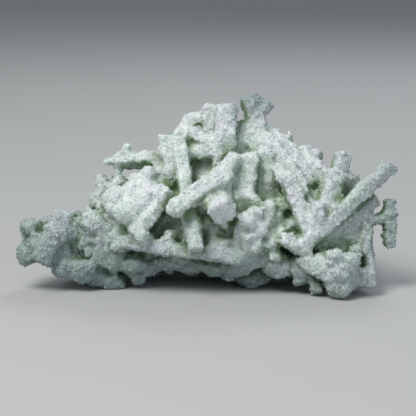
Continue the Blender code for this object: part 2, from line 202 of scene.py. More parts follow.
def readField(field, points):
    # Straight-line blend of the grid's eight values round each point
    scaled = (points - np.array(fieldGrid["lowest"])) / fieldGrid["step"]
    scaled = np.clip(scaled, 0.0, np.array(field.shape) - 1.001)
    low = scaled.astype(int)
    share = scaled - low
    total = np.zeros(len(points))
    for corner in np.ndindex(2, 2, 2):
        weight = np.prod(np.where(np.array(corner) == 1, share, 1.0 - share), axis=1)
        spot = low + np.array(corner)
        total += weight * field[spot[:, 0], spot[:, 1], spot[:, 2]]
    return total


# Surfaces on a grid of two parameters

def closedGrid(rings, rootPole, tipPole):
    # Faces of a stack of rings (rows, columns, 3) closed by a point at each end
    rows, columns, _ = rings.shape
    points = np.vstack((rings.reshape(-1, 3), rootPole, tipPole))
    near = np.arange(columns)
    following = np.roll(near, -1)
    base = np.arange(rows - 1)[:, None] * columns
    quads = np.stack((base + near, base + following, base + columns + following, base + columns + near),
                     axis=-1)
    last = (rows - 1) * columns
    rootFan = np.stack((following, near, np.full(columns, rows * columns)), axis=-1)
    tipFan = np.stack((last + near, last + following, np.full(columns, rows * columns + 1)), axis=-1)
    return points, quads.reshape(-1, 4), np.vstack((rootFan, tipFan))


def joinGrids(grids):
    # Many closed grids as one list of points, quads and triangles
    points, quads, triangles, shift = [], [], [], 0
    for spots, four, three in grids:
        points.append(spots)
        quads.append(four + shift)
        triangles.append(three + shift)
        shift += len(spots)
    return np.vstack(points), np.vstack(quads), np.vstack(triangles)


castShape = {
    "slimmer": 0.35,       # mm off the section, which the druse gives back
    "squareness": 6.0,     # 2 would be a round section, 8 nearly a box
    "taper": 0.91,         # the section at the tip against the one at the root
    "tipRounding": 0.18,   # how far back from its end a tip rounds off, in widths
    "tipSquareness": 3.0,
    "tipSlope": 0.26,      # a broken end slopes by up to this share of its width
    "waver": 0.35,         # how far the middle line strays from straight, in mm
    "swell": 0.035,        # how much the sides swell and pull in, as a share of their size
    "swellWaves": ((1, 7.0), (2, 10.0), (3, 5.0)),    # turns round the section and mm along the finger
    "swellShare": (0.4, 1.0),
    "columns": 36,
    "rowSpacing": 0.9,     # mm
    "domeRows": 5,
}


def fingerSurface(bar, rng):
    # A profile carried along a straight path: the section is a rounded rectangle whose width and thickness
    # are the signed 2/n powers of cosine and sine. It tapers, wavers a little, and closes with a blunt dome.
    look = castShape
    length = bar["length"]
    tipStart = 1.0 - min(0.5, look["tipRounding"] * min(bar["width"], bar["thick"]) / length)
    rows = max(5, int(length * tipStart / look["rowSpacing"]))
    dome = 1.0 - np.cos(np.linspace(0.0, math.pi / 2.0, look["domeRows"] + 2)[1:-1])
    reach = np.concatenate((np.linspace(0.0, tipStart, rows), 1.0 - (1.0 - tipStart) * dome[::-1]))
    reach = np.sort(reach)
    past = np.clip((reach - tipStart) / (1.0 - tipStart), 0.0, 1.0)
    shrink = (1.0 - past ** look["tipSquareness"]) ** (1.0 / look["tipSquareness"])
    shrink *= 1.0 + (look["taper"] - 1.0) * reach
    angle = np.linspace(0.0, 2.0 * math.pi, look["columns"], endpoint=False)
    power = 2.0 / look["squareness"]
    width, thick = bar["width"] - look["slimmer"], bar["thick"] - look["slimmer"]
    across = np.sign(np.cos(angle)) * np.abs(np.cos(angle)) ** power * width / 2.0
    through = np.sign(np.sin(angle)) * np.abs(np.sin(angle)) ** power * thick / 2.0
    swell = np.ones((len(reach), len(angle)))
    for turns, wave in look["swellWaves"]:
        phase = rng.uniform(0.0, 2.0 * math.pi, 2)
        swell += (look["swell"] * rng.uniform(*look["swellShare"])
                  * np.sin(reach[:, None] * length / wave * 2.0 * math.pi + phase[0])
                  * np.cos(turns * angle[None, :] + phase[1]))
    stray = look["waver"] * rng.uniform(-1.0, 1.0, (2, 2))
    bow, snake = np.sin(reach * math.pi)[:, None], np.sin(reach * 2.0 * math.pi)[:, None]
    middle = bow * stray[:, 0] + snake * stray[:, 1]
    slope = look["tipSlope"] * rng.uniform(-1.0, 1.0, 2)
    local = np.empty((len(reach), len(angle), 3))
    local[..., 1] = middle[:, None, 0] + across * shrink[:, None] * swell
    local[..., 2] = middle[:, None, 1] + through * shrink[:, None] * swell
    slant = slope[0] * local[..., 1] + slope[1] * local[..., 2]
    local[..., 0] = reach[:, None] * length + slant * reach[:, None]
    rings = bar["root"] + local @ bar["axes"]
    tipPole = bar["root"] + bar["axes"][0] * length + middle[-1] @ bar["axes"][1:]
    return closedGrid(rings, bar["root"][None, :], tipPole[None, :])


def ballSurface(columns, rows):
    # A ball of radius one as rings from its lower to its upper pole, for every lump and knob: the cosine of
    # the height times cosine and sine of the angle, and the sine of the height
    angle = np.linspace(0.0, 2.0 * math.pi, columns, endpoint=False)
    height = np.linspace(-math.pi / 2.0, math.pi / 2.0, rows + 2)[1:-1]
    rings = np.stack((np.cos(height)[:, None] * np.cos(angle), np.cos(height)[:, None] * np.sin(angle),
                      np.repeat(np.sin(height)[:, None], columns, axis=1)), axis=-1)
    return closedGrid(rings, np.array(((0.0, 0.0, -1.0),)), np.array(((0.0, 0.0, 1.0),)))


lumpShape = {
    "blocks": 4.0,         # mm across the blocky crystals that a lump is made of
    "tilt": 1.3,           # how steeply their tops may slope
    "depth": 1.1,          # how far they stand out from one another
    "level": 0.3,          # the height of their relief that lies on the ellipsoid
    "sunk": 0.45,          # mm that the whole is drawn in, so that its blocks reach its size
    "columns": 44,
    "rows": 28,
}


def lumpSurface(lump, salt):
    # An ellipsoid pushed in and out along its radius by the facets of big intergrown crystals
    points, quads, triangles = ballSurface(lumpShape["columns"], lumpShape["rows"])
    spots = points * lump["size"] / 2.0
    blocks = crystalRelief(spots + lump["centre"], lumpShape["blocks"], salt, tilt=lumpShape["tilt"])
    push = lumpShape["depth"] * (blocks - lumpShape["level"]) - lumpShape["sunk"]
    return lump["centre"] + spots + unit(points) * push[:, None], quads, triangles


def randomTurns(count, rng):
    # Evenly random rotation matrices, from random unit quaternions
    q = unit(rng.normal(size=(count, 4)))
    w, x, y, z = q.T
    turns = np.stack((1 - 2 * (y * y + z * z), 2 * (x * y - z * w), 2 * (x * z + y * w),
                      2 * (x * y + z * w), 1 - 2 * (x * x + z * z), 2 * (y * z - x * w),
                      2 * (x * z - y * w), 2 * (y * z + x * w), 1 - 2 * (x * x + y * y)), axis=1)
    return turns.reshape(-1, 3, 3)


knobShape = {
    "spacing": 5.2,            # mm between knobs where their density is 1
    "squareness": 8,           # 2 would be a ball
    "stretch": (0.7, 1.25),
    "alongFinger": (0.1, 1.0),
    "crowding": 1.3,           # how much more of them stand on a finger's flat faces than on its edges
    "back": 0.3,               # how far they keep back from its tip, in sizes
    "inFinger": 0.22,          # how far under its face a knob's middle lies, in sizes
    "inLump": 0.35,
    "lumpSize": 1.3,           # knobs on lumps against the size that their group gives
    "lumpDensity": 1.6,
    "columns": 8,
    "rows": 5,
}


def knobSurfaces(centres, sizes, rng):
    # Many small blunt knobs at once: squared balls, stretched and turned at random
    points, quads, triangles = ballSurface(knobShape["columns"], knobShape["rows"])
    power = knobShape["squareness"]
    squared = points / (np.sum(np.abs(points) ** power, axis=1) ** (1.0 / power))[:, None]
    stretch = sizes[:, None] * rng.uniform(*knobShape["stretch"], (len(sizes), 3)) / 2.0
    local = squared[None] * stretch[:, None, :]
    spots = centres[:, None, :] + np.einsum("nij,nkj->nki", randomTurns(len(sizes), rng), local)
    shift = np.arange(len(sizes))[:, None, None] * len(points)
    return spots.reshape(-1, 3), (quads + shift).reshape(-1, 4), (triangles + shift).reshape(-1, 3)


def knobsOnBars(bars, density, sizes, rng):
    # Knobs centred just under the faces of the fingers, at random places along and round them
    rule, centres, widths = knobShape, [], []
    for bar in bars:
        around = 2.0 * (bar["width"] + bar["thick"])
        count = int(bar["length"] * around / rule["spacing"] ** 2 * density)
        along = rng.uniform(*rule["alongFinger"], count) * bar["length"]
        angle = rng.uniform(0.0, 2.0 * math.pi, count)
        size = rng.uniform(*sizes, count)
        sunk = size * rule["inFinger"]
        across = np.clip(np.cos(angle) * rule["crowding"], -1.0, 1.0) * (bar["width"] / 2.0 - sunk)
        through = np.clip(np.sin(angle) * rule["crowding"], -1.0, 1.0) * (bar["thick"] / 2.0 - sunk)
        local = np.stack((along - size * rule["back"], across, through), axis=1)
        centres.append(bar["root"] + local @ bar["axes"])
        widths.append(size)
    return np.vstack(centres), np.concatenate(widths)


def knobsOnLumps(lumps, density, sizes, rng):
    # Knobs centred just under the skin of the lumps, in every direction alike
    centres, widths = [], []
    for lump in lumps:
        area = math.pi * np.mean(lump["size"]) ** 2
        count = int(area / knobShape["spacing"] ** 2 * density * knobShape["lumpDensity"])
        size = rng.uniform(*sizes, count) * knobShape["lumpSize"]
        way = unit(rng.normal(size=(count, 3)))
        centres.append(lump["centre"] + way * (lump["size"] / 2.0 - size[:, None] * knobShape["inLump"]))
        widths.append(size)
    return np.vstack(centres), np.concatenate(widths)


# The fingers, each from its free tip to its root as (across, up, depth) in the front view, then its width,
# its thickness and how far its section is turned. They stand where the cast's solid has them.

crown = {
    "centre": ((6.9, 76.6, -4), (6.4, 50, -8), 9.2, 8.4, 8),
    "centreHorn": ((10.3, 77.3, -3), (9.6, 74.6, -3), 2.2, 2.4, 0),
    "centreFoot": ((6.4, 62.4, -5), (6, 42, -9), 9.4, 7.6, 4),
    "centreSide": ((9.4, 66, -2), (8.6, 46, -6), 5.6, 6, -10),
    "centreLeft": ((1.2, 76.2, 0), (0.6, 58, -3), 7, 6.8, 6),
    "knobNeck": ((17.8, 76, 2), (20.4, 56, -4), 8.2, 7.4, 5),
    "knobFlare": ((15, 70, 0), (12.6, 52, -4), 6.6, 6, 20),
    "neckRecess": ((16, 65, 1), (15, 48, -4), 8.4, 5.6, 0),
    "neckGreen": ((22.4, 59, -9), (22.8, 38, -13), 6.4, 5.6, 10),
    "knobHorn": ((13.4, 79.2, 2), (16.4, 76.6, 3), 2.8, 2.8, 0),
    "archLimb": ((-6.4, 71.8, 1), (-12.8, 61, -5), 5.6, 6.2, 0),
    "archCap": ((-8.6, 70.8, 2), (1, 70.8, 0), 4.8, 5.2, 10),
    "archBar": ((-10.8, 66.4, -5), (2.6, 60.8, -7), 5.4, 5.4, 15),
    "archSill": ((-12, 57.5, -7), (3.2, 57.4, -8), 5.2, 5, 0),
    "archWeb": ((-6.6, 62.6, -5), (3, 62.2, -6), 5.8, 5, 0),
    "upright": ((-11.8, 63, -9), (-4.8, 18, -31), 6.2, 6.2, 10),
    "blueUpright": ((-17.6, 64.4, -9), (-14.8, 44, -12), 5.4, 5.4, 30),
    "uprightWeb": ((-14.8, 60, -7), (-13.6, 40, -11), 5.6, 5.4, 0),
    "windowBack": ((-1.4, 60, -2), (-0.4, 40, -5), 6.6, 6, 20),
    "windowLeft": ((-6.4, 58, 1), (-6, 40, -3), 6, 6, -20),
    "flatTop": ((16.6, 57, -15), (14.6, 30, -17), 7.8, 6.6, -6),
    "flatTopWeb": ((12.6, 54, -14), (11, 34, -18), 6, 5.6, 0),
}
shoulder = {
    "slopeCap": ((22.6, 66.4, 2), (34, 57, -1), 5.6, 6.4, 15),
    "slopeA": ((22.4, 63.4, -4), (37.4, 42.6, -13), 7.4, 6.8, 10),
    "slopeB": ((28.4, 62.6, 0), (41.6, 43.6, -8), 6.6, 6.4, 25),
    "slopeC": ((36, 58.6, 1), (49, 43, -8), 6.4, 6, 0),
    "slopeHorn": ((33.4, 65, 4), (27.6, 58.6, 2), 3, 3, 0),
    "slopeHornB": ((26.4, 66.6, 2), (24, 60, 1), 2.6, 2.6, 0),
    "slopeHornC": ((39, 59.8, 1), (36.6, 54, 0), 3, 2.8, 20),
    "slopeHornD": ((43.6, 58.6, 2), (41, 52, 1), 3.2, 3, 0),
    "slopeLedge": ((45, 56.6, 4), (35, 53, 2), 4.8, 5, 10),
    "slopeBack": ((23, 66, 6), (31, 52, 1), 5.6, 6, 15),
    "slopeRail": ((41.6, 54, -3), (50, 45.6, -7), 4.4, 5, 20),
    "bright": ((30.4, 49.4, -22), (41.4, 23.6, -25), 6.8, 6.6, 12),
    "brightBlock": ((28.4, 50.8, -21), (31, 44, -6), 5.4, 5, 20),
    "rightKnob": ((54.8, 57.2, 3), (48, 40, -6), 6.8, 7, 18),
    "rightPost": ((58, 48.6, 1), (52, 34, -8), 6.2, 6, 0),
    "longBack": ((73.8, 52.6, -15), (37.4, 20, -28), 6, 5.8, 20),
    "longFront": ((67.2, 39.6, -13), (46, 22, -21), 5.6, 6.8, 24),
    "lip": ((29.4, 23, -31), (41, 17.6, -27), 4.8, 5, 15),
    "lipHornA": ((29.8, 25.2, -31), (32.6, 20.6, -29), 2.4, 2.4, 10),
    "lipHornB": ((33.6, 25.4, -30), (34.6, 20.6, -28), 2.2, 2.4, 30),
    "towardA": ((52, 49.4, -12), (45.6, 33, -18), 8.8, 8, 15),
    "towardB": ((44.2, 37.6, -26), (42, 22.4, -25), 5.4, 6, 10),
    "towardC": ((48.6, 37.6, -20), (45.8, 26, -20), 6, 6.6, 20),
    "underLong": ((65, 33.4, -13), (45.4, 16.4, -20), 9, 7.4, 22),
    "underLongB": ((61.4, 27, -9), (50, 11, -16), 8, 7, 10),
    "underLongC": ((60, 24.6, -15), (52, 12, -20), 8.4, 7, 12),
    "pocketBack": ((40, 46, -3), (41, 28, -11), 7, 6, 0),
}
front = {
    "mainSlant": ((-14, 34.6, -33), (8.4, 49.8, -20), 6.8, 6.8, 14),
    "slantTop": ((10.8, 57, -18), (3.4, 44.6, -18), 5.8, 6.4, -10),
    "blockBody": ((5.6, 50, -17), (5, 33, -24), 9, 7.6, 10),
    "blockEnd": ((5.6, 33, -34), (4.6, 42.4, -12), 10, 10.6, 24),
    "blockSide": ((1, 37, -29), (1.6, 42, -12), 6.6, 6.2, 10),
    "chunk": ((18.8, 35.4, -28), (16.6, 12, -20), 5.6, 6, 14),
    "chunkLeft": ((14, 29.8, -25), (12, 12, -18), 5.6, 6, -12),
    "chunkMid": ((16.2, 25, -28), (14.4, 12, -20), 5, 5.6, 30),
    "slitRight": ((18.4, 40.4, -21), (20.2, 24, -20), 5, 5.4, 20),
    "thinPost": ((25, 38, -25), (22.2, 12, -20), 5, 5.2, 8),
    "postBack": ((28, 35, -22), (24, 12, -18), 4.6, 5.2, 30),
    "oliveBack": ((13.6, 43, -18), (9, 16, -18), 6, 6, 10),
    "slitBack": ((24.8, 52, -12), (26.4, 20, -14), 6, 6, 10),
    "ridgeA": ((-14.8, 42.2, -21.5), (-30, 25, -23.5), 5.6, 6.8, 12),
    "ridgeB": ((-16.8, 43.4, -20.5), (-36, 32.4, -22.5), 5.8, 6.6, 0),
    "ridgeC": ((-26.6, 45, -15), (-41, 36, -16), 6, 6.4, 20),
    "leanLeft": ((-22.2, 51, -12), (-35, 38.6, -18), 5.2, 5.4, 10),
    "greenBack": ((-17.2, 52, -9), (-20, 36, -13), 8.8, 6, 0),
    "deepGreen": ((-13, 37, -8), (-18, 24, -13), 6, 6, 10),
    "recessFloor": ((-18, 33.4, -11), (-25, 20, -15), 9, 5.4, -20),
    "bough": ((-37.6, 54.2, -5), (-14, 54.8, -4), 5.8, 6.2, 36),
    "boughTip": ((-41.6, 54, -6), (-36, 54.2, -5), 2.8, 3, 20),
    "boughNub": ((-32.4, 60.8, -4), (-32.4, 55, -4), 3.6, 3.4, 25),
    "boughStrut": ((-36, 54.4, -4), (-36.4, 42, -6), 3.4, 4, 0),
    "leftPrickle": ((-42.8, 48.6, -3), (-40.4, 35, -7), 4.8, 4.4, 15),
    "leftPrickleB": ((-46.2, 40.6, -3), (-41.6, 32, -6), 4.4, 4.4, 30),
    "beam": ((-34, 22, -22), (13, 15, -24), 5.6, 6, 8),
    "beamUnder": ((-22, 15.2, -10), (4, 12.4, -12), 6.4, 7, 0),
    "beamStub": ((-27, 24.8, -30), (-23, 21.6, -18), 5.4, 4.2, 20),
}
leftLobe = {
    "leftPoint": ((-75.4, 16.2, -15), (-58, 20.4, -8), 8.4, 7, 20),
    "broad": ((-57.6, 33.6, -14), (-67, 13.6, -20), 8, 6.4, 12),
    "leftBrow": ((-71.6, 30.8, -5), (-69.6, 18, -7), 6, 6, 20),
    "leftLedge": ((-74, 22.4, -8), (-62, 23, -4), 6.4, 6, 0),
    "cheekA": ((-43.8, 32.4, -15), (-49.4, 19, -13), 7.8, 7, 15),
    "cheekB": ((-51, 31, -12), (-51.6, 16, -10), 5.8, 6.4, 0),
    "cheekNub": ((-47.6, 35.4, -9), (-47, 29, -8), 3, 3, 0),
    "greenFinger": ((-38.6, 30, -17), (-43.6, 13, -15), 7.6, 6.6, 10),
    "leftHeap": ((-57.6, 19, -12), (-50, 12, -5), 7, 7, 20),
    "leftBack": ((-66, 24, 3), (-44, 28, 0), 6.4, 7, 15),
}
rightLobe = {
    "teeUpright": ((72.2, 38.4, -14), (72.8, 19.6, -14), 4.8, 4.8, 10),
    "teeNub": ((75.6, 32.6, -14), (70, 31.8, -14), 3, 3.4, 0),
    "teeArm": ((73, 31.6, -14), (58, 29.6, -15), 4, 4.6, 10),
    "plateTop": ((63.6, 28.8, -17), (61, 17, -19), 5.4, 6, 10),
    "ringRight": ((66, 5, -22), (62.4, 27, -15), 4.4, 6, 10),
    "ringLeft": ((58.6, 20, -24), (58, 5, -26), 4.4, 5, 20),
    "ringFloor": ((67, 7, -23), (48, 6, -25), 6.4, 8, 0),
    "facingA": ((50.4, 17.8, -33), (51, 7, -27), 7, 6, 10),
    "facingB": ((56.6, 16.4, -33), (56.4, 6, -28), 5.4, 5.6, 35),
    "facingC": ((52, 1, -31), (53, 12, -26), 7.6, 6, 25),
    "toe": ((53, 4.6, -32), (37, 16, -26), 5.6, 6.4, 15),
    "lobeBack": ((60, 20, 6), (48, 10, -6), 7, 7, 10),
    "stubA": ((43.6, 1.6, -26), (43, 12, -20), 5, 5, 10),
    "stubB": ((37, 4.4, -22), (38, 14, -18), 5.6, 5.6, 0),
    "midStubA": ((14.8, 4.8, -8), (16, 14, -12), 3.2, 3.2, 0),
    "midStubB": ((19.8, 4, -6), (19.4, 14, -12), 3.4, 3.4, 0),
}

# Rounded lumps of crust: the centre in the front view, then the size along X, Y and Z.

frontLumps = {
    "knobHead": ((17.8, 76.6, 3), (8.8, 8.4, 8)),
    "knobBulge": ((22.2, 75.8, 3), (5.8, 6, 6.4)),
    "knobCrown": ((18.6, 79.2, 3), (5, 5, 4.4)),
    "slopeBeadA": ((26.4, 64, 3), (6, 6, 5.6)),
    "slopeBeadB": ((39.6, 57, 3), (5.4, 6, 5.4)),
    "bodyRight": ((51, 43, -7), (13, 14, 15)),
    "lipMass": ((36.4, 19.8, -27), (9, 8, 7)),
    "leftKnuckle": ((-35, 44.2, -5), (7.6, 7.6, 6)),
    "leftWrist": ((-43.6, 38, -4), (7, 8, 8)),
    "brightMassA": ((-35, 37.8, -18), (15, 12, 13)),
    "brightMassB": ((-31.6, 34, -20), (14, 13, 13)),
    "brightMassC": ((-38, 31.2, -14), (10, 11, 11)),
    "brightMassD": ((-25, 36.4, -19), (15, 12, 12)),
    "massTop": ((-24, 43.4, -16), (9, 8, 7)),
    "massFoot": ((-35.4, 25, -17), (9, 8, 9)),
    "slantEnd": ((-12.4, 35.4, -31), (7.8, 7.6, 8)),
    "slantHip": ((3.6, 46, -23), (9, 8, 8)),
    "beamBead": ((-15.6, 24.4, -21), (5.8, 5.8, 5.4)),
    "knoll": ((3.4, 19.6, -21), (11, 9, 8.6)),
    "knollBead": ((6.2, 21.4, -24), (5, 4, 3.6)),
    "knollRight": ((10.2, 20.4, -20), (8.6, 9, 9)),
    "chunkBeadA": ((15.4, 31, -28), (7, 6, 6)),
    "chunkBeadB": ((21.6, 27.4, -26), (6, 7, 7)),
    "chunkBeadC": ((19, 19.6, -26), (8, 7, 6.4)),
    "chunkBeadD": ((26, 22.4, -25), (6.4, 7, 7)),
    "bead": ((26.8, 16.4, -25), (6.4, 7, 6.4)),
}
footLumps = {
    "bellyLeft": ((-31, 13.4, -13), (13, 11, 8.6)),
    "bellyLeftEnd": ((-25, 11, -9), (9, 9, 7)),
    "bellyMid": ((-18, 14, -9), (14, 11, 7)),
    "bellyMidRight": ((-7, 13, -10), (13, 11, 7)),
    "bellyRight": ((3.4, 12.4, -13), (12, 11, 8.4)),
    "bellyFront": ((12, 13, -17), (13, 12, 10)),
    "footMid": ((18, 8.6, -8), (13, 12, 10)),
    "footMidRight": ((28, 12.6, -19), (12, 11, 9)),
}
leftLumps = {
    "leftTop": ((-70.4, 27, -9), (9.6, 9, 9)),
    "leftGap": ((-63.6, 26.8, -5), (12, 10, 9.6)),
    "leftBlue": ((-56, 14, -8), (14, 12, 11)),
    "leftMid": ((-56, 27, -2), (12, 12, 11)),
    "leftShelf": ((-66, 21, -9), (14, 12, 12)),
    "leftFront": ((-60, 20, -12), (13, 11, 11)),
    "leftCheek": ((-45.6, 30, -16), (11, 9, 10)),
    "leftHollow": ((-51, 18, -5), (13, 10, 11)),
    "leftSeam": ((-55, 26, -9), (10, 10, 9)),
    "broadEdgeA": ((-61, 24, -18), (9, 8, 9)),
    "broadEdgeB": ((-55.4, 27, -13), (9, 8, 9)),
    "broadEdgeC": ((-67.4, 20.4, -15), (9, 8, 9)),
    "lowCrust": ((-38, 15.4, -14), (12, 10, 11)),
    "lowCrustA": ((-57, 12, -14), (11, 11, 9)),
    "lowCrustB": ((-50, 10.4, -15), (12, 11, 9.4)),
    "lowCrustC": ((-61.6, 15.4, -14), (8, 9, 8)),
    "footLeft": ((-38.4, 6, -10), (9.6, 10, 8)),
    "footLeftB": ((-45.6, 9, -11), (10, 10, 10)),
    "coreFarLeft": ((-56, 21, -2), (26, 18, 16)),
}
rightLumps = {
    "footRightA": ((38, 12, -21), (10, 10, 10)),
    "footRightC": ((52.6, 4, -29), (11, 11, 9)),
    "lobeCore": ((56, 13, -12), (18, 18, 16)),
    "lobeSkin": ((45, 20.6, -20), (11, 8, 10)),
    "lobeSkinB": ((54, 23.6, -17), (11, 8, 8)),
    "lobeFront": ((51, 10.6, -28), (15, 14.6, 11)),
    "lobeFrontB": ((45.6, 13, -27), (9, 9, 9)),
    "ringFillA": ((61.6, 7.8, -22), (9.4, 11, 8)),
    "ringFillB": ((63.6, 18.6, -16), (6, 7, 6)),
    "teeHead": ((72.6, 33, -14), (6.6, 5, 5.4)),
}
coreLumps = {
    "coreMiddle": ((2, 32, 1), (48, 40, 44)),
    "coreLeft": ((-32, 26, -2), (36, 28, 28)),
    "coreRight": ((38, 28, -5), (38, 31, 33)),
}
baseLumps = {
    "baseMiddle": ((2, 32, 5), (46, 38, 42)),
    "baseLeft": ((-24, 20, 6), (44, 30, 14)),
    "baseRight": ((28, 11, 13), (52, 32, 18)),
    "baseBack": ((-4, 12, 22), (62, 26, 22)),
}

# The back, the top and the far sides: fingers laid in rows over the mound's own outline.

backRule = {
    "outlineX": (-70, -56, -44, -30, -12, 4, 20, 36, 52, 66),       # along the mound,
    "outlineHeight": (16, 24, 29, 36, 50, 60, 56, 49, 42, 31),      # how high it is there
    "outlineReach": (2, 10, 20, 29, 35, 37, 36, 32, 23, 8),         # and how far back it goes
    "rows": ((9, 12.0), (9, 30.0), (8, 48.0), (7, 66.0)),    # how many fingers, at what angle up its back
    "seed": 11,
    "middle": 2.0,             # x of the middle of each row
    "halfRow": 60.0,           # half the length of the lowest row
    "narrowing": 22.0,         # how much shorter that is at the top
    "placeInShare": (0.2, 0.8),
    "stray": 8.0,              # degrees up or down from its row
    "skinLift": 3.0,
    "fan": 90.0,               # the smaller, the more the fingers at the ends point sideways
    "lean": (0.1, 0.8),        # how much a finger points out of the mound
    "length": (20.0, 34.0),
    "width": (5.4, 8.0),
    "thick": (5.4, 7.6),
    "roll": (0.0, 45.0),
    "tipShare": 0.45,          # how much of its length stands out
    "rootDepth": 4.0,
    "lowestTip": 5.0,
    "lowestRoot": 6.0,
}


def backBars():
    # The same draws, in the same order, as the solid's own back. A finger passes through a point of the
    # outline in a random direction, which leans outwards.
    rule, bars = backRule, []
    centre = np.array(frontView["centre"])
    dice = random.Random(rule["seed"])
    for count, heightAngle in rule["rows"]:
        for placeInRow in range(count):
            share = (placeInRow + dice.uniform(*rule["placeInShare"])) / count
            lift = math.radians(heightAngle + dice.uniform(-rule["stray"], rule["stray"]))
            x = (rule["halfRow"] - rule["narrowing"] * math.sin(lift)) * (2.0 * share - 1.0) + rule["middle"]
            reach = np.interp(x, rule["outlineX"], rule["outlineReach"])
            height = np.interp(x, rule["outlineX"], rule["outlineHeight"])
            skin = np.array((x, reach * math.cos(lift), height * math.sin(lift) + rule["skinLift"]))
            outward = unit(np.array((x / rule["fan"], math.cos(lift), math.sin(lift))))
            level = unit(np.cross(outward, (0.0, 0.0, 1.0)))
            spin = dice.uniform(0.0, math.tau)
            sweep = level * math.cos(spin) + np.cross(outward, level) * math.sin(spin)
            along = unit(outward * dice.uniform(*rule["lean"]) + sweep)
            length = dice.uniform(*rule["length"])
            tip = skin + along * length * rule["tipShare"]
            root = skin - along * length * (1.0 - rule["tipShare"]) - outward * rule["rootDepth"]
            tip[2] = max(tip[2], rule["lowestTip"])
            root[2] = max(root[2], rule["lowestRoot"])
            section = [dice.uniform(*rule[k]) for k in ("width", "thick", "roll")]
            bars.append(makeBar(root - centre, tip - centre, *section))
    return bars


fillerRule = {
    "seed": 3,
    "tries": 900,
    "rise": (2.5, 8.0),        # how far a filler stands out of its core
    "sunk": 6.0,               # and how deep its root lies in it
    "lean": 0.8,               # how far it may point away from straight out
    "width": (3.4, 6.0),
    "roll": (0.0, 90.0),
    "lowestTip": 2.0,
    "clearance": (0.2, 2.6),   # a tip lies this far from the other fingers, so none sticks out alone
}


def fillerBars(cores, field):
    # Short fingers that fill the hollows between the big ones, out of the cores behind them
    rule, bars = fillerRule, []
    rng = np.random.default_rng(rule["seed"])
    shares = np.array([np.prod(core["size"]) ** (2.0 / 3.0) for core in cores])
    for pick in rng.choice(len(cores), rule["tries"], p=shares / shares.sum()):
        core = cores[pick]
        way = unit(rng.normal(size=3))
        foot = core["centre"] + way * core["size"] / 2.0
        along = unit(unit(way / core["size"]) + unit(rng.normal(size=3)) * rule["lean"])
        rise = rng.uniform(*rule["rise"])
        width, thick = rng.uniform(*rule["width"], 2)
        roll = rng.uniform(*rule["roll"])
        tip = foot + along * rise
        clear = readField(field, tip[None, :])[0]
        if tip[2] < rule["lowestTip"] or not rule["clearance"][0] < clear < rule["clearance"][1]:
            continue
        bars.append(makeBar(foot - along * rule["sunk"], tip, width, thick, roll))
    return bars


# The fingers and lumps that make each skin, its fineness in mm, how wide the gaps are that the crust has
# closed, how high the crystals on it stand, how thickly its knobs stand and how big they are, on fingers and
# on lumps, and the space that a grain of the druse has

backCrust = handLumps(baseLumps)
groups = {
    "frontFingers": dict(bars=handBars(crown) + handBars(shoulder) + handBars(front),
                         lumps=handLumps(frontLumps) + handLumps(coreLumps), voxel=0.66, web=0.6, relief=0.22,
                         barKnobs=(0.9, (0.8, 1.8)), lumpKnobs=(0.9, (1.0, 2.2)), grains=0.80),
    "leftLobe": dict(bars=handBars(leftLobe), lumps=handLumps(leftLumps), voxel=0.62, web=0.5, relief=0.42,
                     barKnobs=(1.5, (0.8, 2.0)), lumpKnobs=(1.1, (1.1, 2.4)), grains=0.82),
    "rightLobe": dict(bars=handBars(rightLobe), lumps=handLumps(rightLumps), voxel=0.60, web=0.3, relief=0.48,
                      barKnobs=(1.1, (0.8, 1.8)), lumpKnobs=(1.3, (1.1, 2.4)), grains=0.80),
    "backFingers": dict(bars=backBars(), lumps=backCrust, voxel=0.80, web=0.9, relief=0.25,
                        barKnobs=(0.6, (1.0, 2.2)), lumpKnobs=(1.2, (1.2, 3.0)), grains=1.02),
    "crustFoot": dict(bars=[], lumps=handLumps(footLumps), voxel=0.65, web=0.5, relief=0.40,
                      lumpKnobs=(1.6, (1.2, 3.0)), grains=0.95),
}

# Once without the fillers, which are placed by it, and then with them
wholeField = distanceField([bar for group in groups.values() for bar in group["bars"]],
                           [lump for group in groups.values() for lump in group["lumps"]])
fillers = fillerBars(handLumps(coreLumps) + backCrust, wholeField)
for filler in fillers:
    facing = filler["root"] + filler["axes"][0] * filler["length"]
    groups["frontFingers" if facing[1] < 0.0 else "backFingers"]["bars"].append(filler)
for group in groups.values():
    group["field"] = distanceField(group["bars"], group["lumps"])
wholeField = np.minimum.reduce([group["field"] for group in groups.values()])
for name, group in groups.items():
    group["others"] = np.minimum.reduce([g["field"] for other, g in groups.items() if other != name])
print("fingers placed:", {name: len(group["bars"]) for name, group in groups.items()})


# Meshes

def addPiece(name, points, quads, triangles, material):
    # A new mesh object at the origin: points in mm become metres
    mesh = bpy.data.meshes.new(name)
    corners = np.concatenate((quads.ravel(), triangles.ravel())).astype(np.int32)
    starts = np.concatenate((np.arange(len(quads)) * 4, len(quads) * 4 + np.arange(len(triangles)) * 3))
    mesh.vertices.add(len(points))
    mesh.vertices.foreach_set("co", (points * metresPerMm).astype(np.float32).ravel())
    mesh.loops.add(len(corners))
    mesh.loops.foreach_set("vertex_index", corners)
    mesh.polygons.add(len(starts))
    mesh.polygons.foreach_set("loop_start", starts.astype(np.int32))
    mesh.update(calc_edges=True)
    mesh.validate()
    piece = bpy.data.objects.new(name, mesh)
    bpy.context.scene.collection.objects.link(piece)
    mesh.materials.append(material)
    return piece


def meshArrays(mesh):
    # Vertices in mm and their normals
    points = np.empty(len(mesh.vertices) * 3, np.float32)
    normals = np.empty(len(mesh.vertices) * 3, np.float32)
    mesh.vertices.foreach_get("co", points)
    mesh.vertex_normals.foreach_get("vector", normals)
    return points.reshape(-1, 3).astype(float) / metresPerMm, normals.reshape(-1, 3).astype(float)


